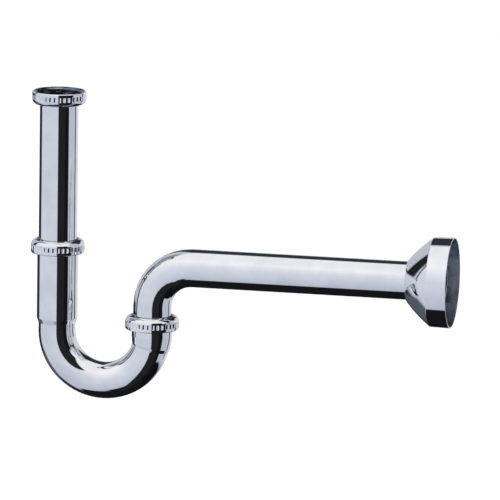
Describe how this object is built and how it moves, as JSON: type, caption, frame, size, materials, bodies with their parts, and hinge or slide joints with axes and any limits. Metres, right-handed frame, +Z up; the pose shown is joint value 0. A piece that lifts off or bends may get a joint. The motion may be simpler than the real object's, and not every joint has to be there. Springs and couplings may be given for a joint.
{
  "type": "p trap",
  "caption": "Tubular basin trap: a vertical inlet tube, a U-shaped bend, an elbowed pipe to the wall, knurled union nuts and a bell-shaped wall escutcheon.",
  "frame": {"origin": "centre of the sealing face on top of the inlet gasket, where the basin's waste seats", "axes": "+Z up along the inlet axis towards the basin, +X horizontal from the inlet axis towards the wall"},
  "size_m": [0.3585, 0.0752, 0.2599],
  "materials": {
    "chrome": "mirror-polished chrome plate on brass tube",
    "nut_chrome": "mirror-polished chrome plate on a turned brass nut",
    "escutcheon_chrome": "chrome-plated spun brass, polished outside and dull inside",
    "raw_brass": "turned brass, dull",
    "black_rubber": "matt moulded rubber",
    "white_plastic": "smooth pale plastic"
  },
  "bodies": {
    "inlet": {"inlet_tube": "chrome", "inlet_flange_ring": "raw_brass", "inlet_gasket": "black_rubber"},
    "top_ring": {"top_slip_ring": "white_plastic"},
    "top_nut": {"top_union_nut": "nut_chrome"},
    "inlet_seal": {"inlet_cone_seal": "black_rubber"},
    "bend": {"trap_bend": "chrome", "bend_inlet_collar": "raw_brass", "bend_outlet_collar": "raw_brass"},
    "mid_ring": {"mid_slip_ring": "white_plastic"},
    "mid_nut": {"mid_union_nut": "nut_chrome"},
    "outlet_seal": {"outlet_cone_seal": "black_rubber"},
    "outlet_ring": {"outlet_slip_ring": "white_plastic"},
    "outlet_nut": {"outlet_union_nut": "nut_chrome"},
    "outlet": {"outlet_pipe": "chrome"},
    "grip": {"escutcheon_grip_ring": "black_rubber"},
    "escutcheon": {"escutcheon": "escutcheon_chrome"}
  },
  "joints": [
    {"name": "top_nut_drop", "type": "slide", "parent": "inlet", "child": "top_ring", "axis": [0, 0, -1], "range_m": [0, 0.06]},
    {"name": "top_nut_spin", "type": "hinge", "parent": "top_ring", "child": "top_nut", "pos_m": [0, 0, 0], "axis": [0, 0, 1], "continuous": true},
    {"name": "inlet_height", "type": "slide", "parent": "inlet", "child": "inlet_seal", "axis": [0, 0, 1], "range_m": [-0.015, 0.028]},
    {"name": "bend_swivel", "type": "hinge", "parent": "inlet_seal", "child": "bend", "pos_m": [0, 0, -0.1973], "axis": [0, 0, 1], "continuous": true},
    {"name": "mid_ring_lift", "type": "slide", "parent": "bend", "child": "mid_ring", "axis": [0, 0, 1], "range_m": [0, 0.007]},
    {"name": "mid_nut_unscrew", "type": "hinge", "parent": "mid_ring", "child": "mid_nut", "pos_m": [0, 0, -0.1228], "axis": [0, 0, 1], "range_deg": [0, 1080]},
    {"name": "outlet_swivel", "type": "hinge", "parent": "bend", "child": "outlet_seal", "pos_m": [0.082, 0, -0.1973], "axis": [0, 0, 1], "range_deg": [-120, 120]},
    {"name": "outlet_ring_lift", "type": "slide", "parent": "bend", "child": "outlet_ring", "axis": [0, 0, 1], "range_m": [0, 0.007]},
    {"name": "outlet_nut_unscrew", "type": "hinge", "parent": "outlet_ring", "child": "outlet_nut", "pos_m": [0.082, 0, -0.1835], "axis": [0, 0, 1], "range_deg": [0, 1080]},
    {"name": "outlet_height", "type": "slide", "parent": "outlet_seal", "child": "outlet", "axis": [0, 0, 1], "range_m": [0, 0.006]},
    {"name": "escutcheon_reach", "type": "slide", "parent": "outlet", "child": "grip", "axis": [1, 0, 0], "range_m": [-0.17, 0]},
    {"name": "escutcheon_spin", "type": "hinge", "parent": "grip", "child": "escutcheon", "pos_m": [0.3, 0, -0.1383], "axis": [1, 0, 0], "continuous": true}
  ],
  "couplings": [
    {"joint": "mid_ring_lift", "follows": "mid_nut_unscrew", "m_per_rad": 0.00036749},
    {"joint": "outlet_ring_lift", "follows": "outlet_nut_unscrew", "m_per_rad": 0.00036749}
  ]
}
